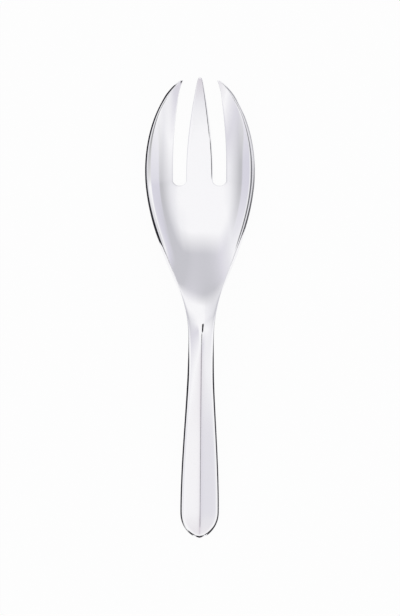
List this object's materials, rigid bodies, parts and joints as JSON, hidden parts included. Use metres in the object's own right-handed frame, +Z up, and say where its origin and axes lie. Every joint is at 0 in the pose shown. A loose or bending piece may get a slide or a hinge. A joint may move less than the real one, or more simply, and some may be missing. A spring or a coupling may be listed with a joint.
{
  "type": "serving fork",
  "caption": "One-piece metal serving fork with a dished oval bowl, slotted into broad pointed tines, a slender arched neck and a flat handle with a lengthwise ridge.",
  "frame": {"origin": "middle of the fork's length and width, on the table it lies on", "axes": "+Y along the fork from the handle end to the tines, +Z up out of the hollow of the bowl, +X across, to the right seen from above"},
  "size_m": [0.06, 0.25, 0.0243],
  "materials": {
    "polished_metal": "bright polished silver-coloured metal, one surface all over"
  },
  "bodies": {
    "root": {"serving_fork": "polished_metal"}
  },
  "joints": []
}
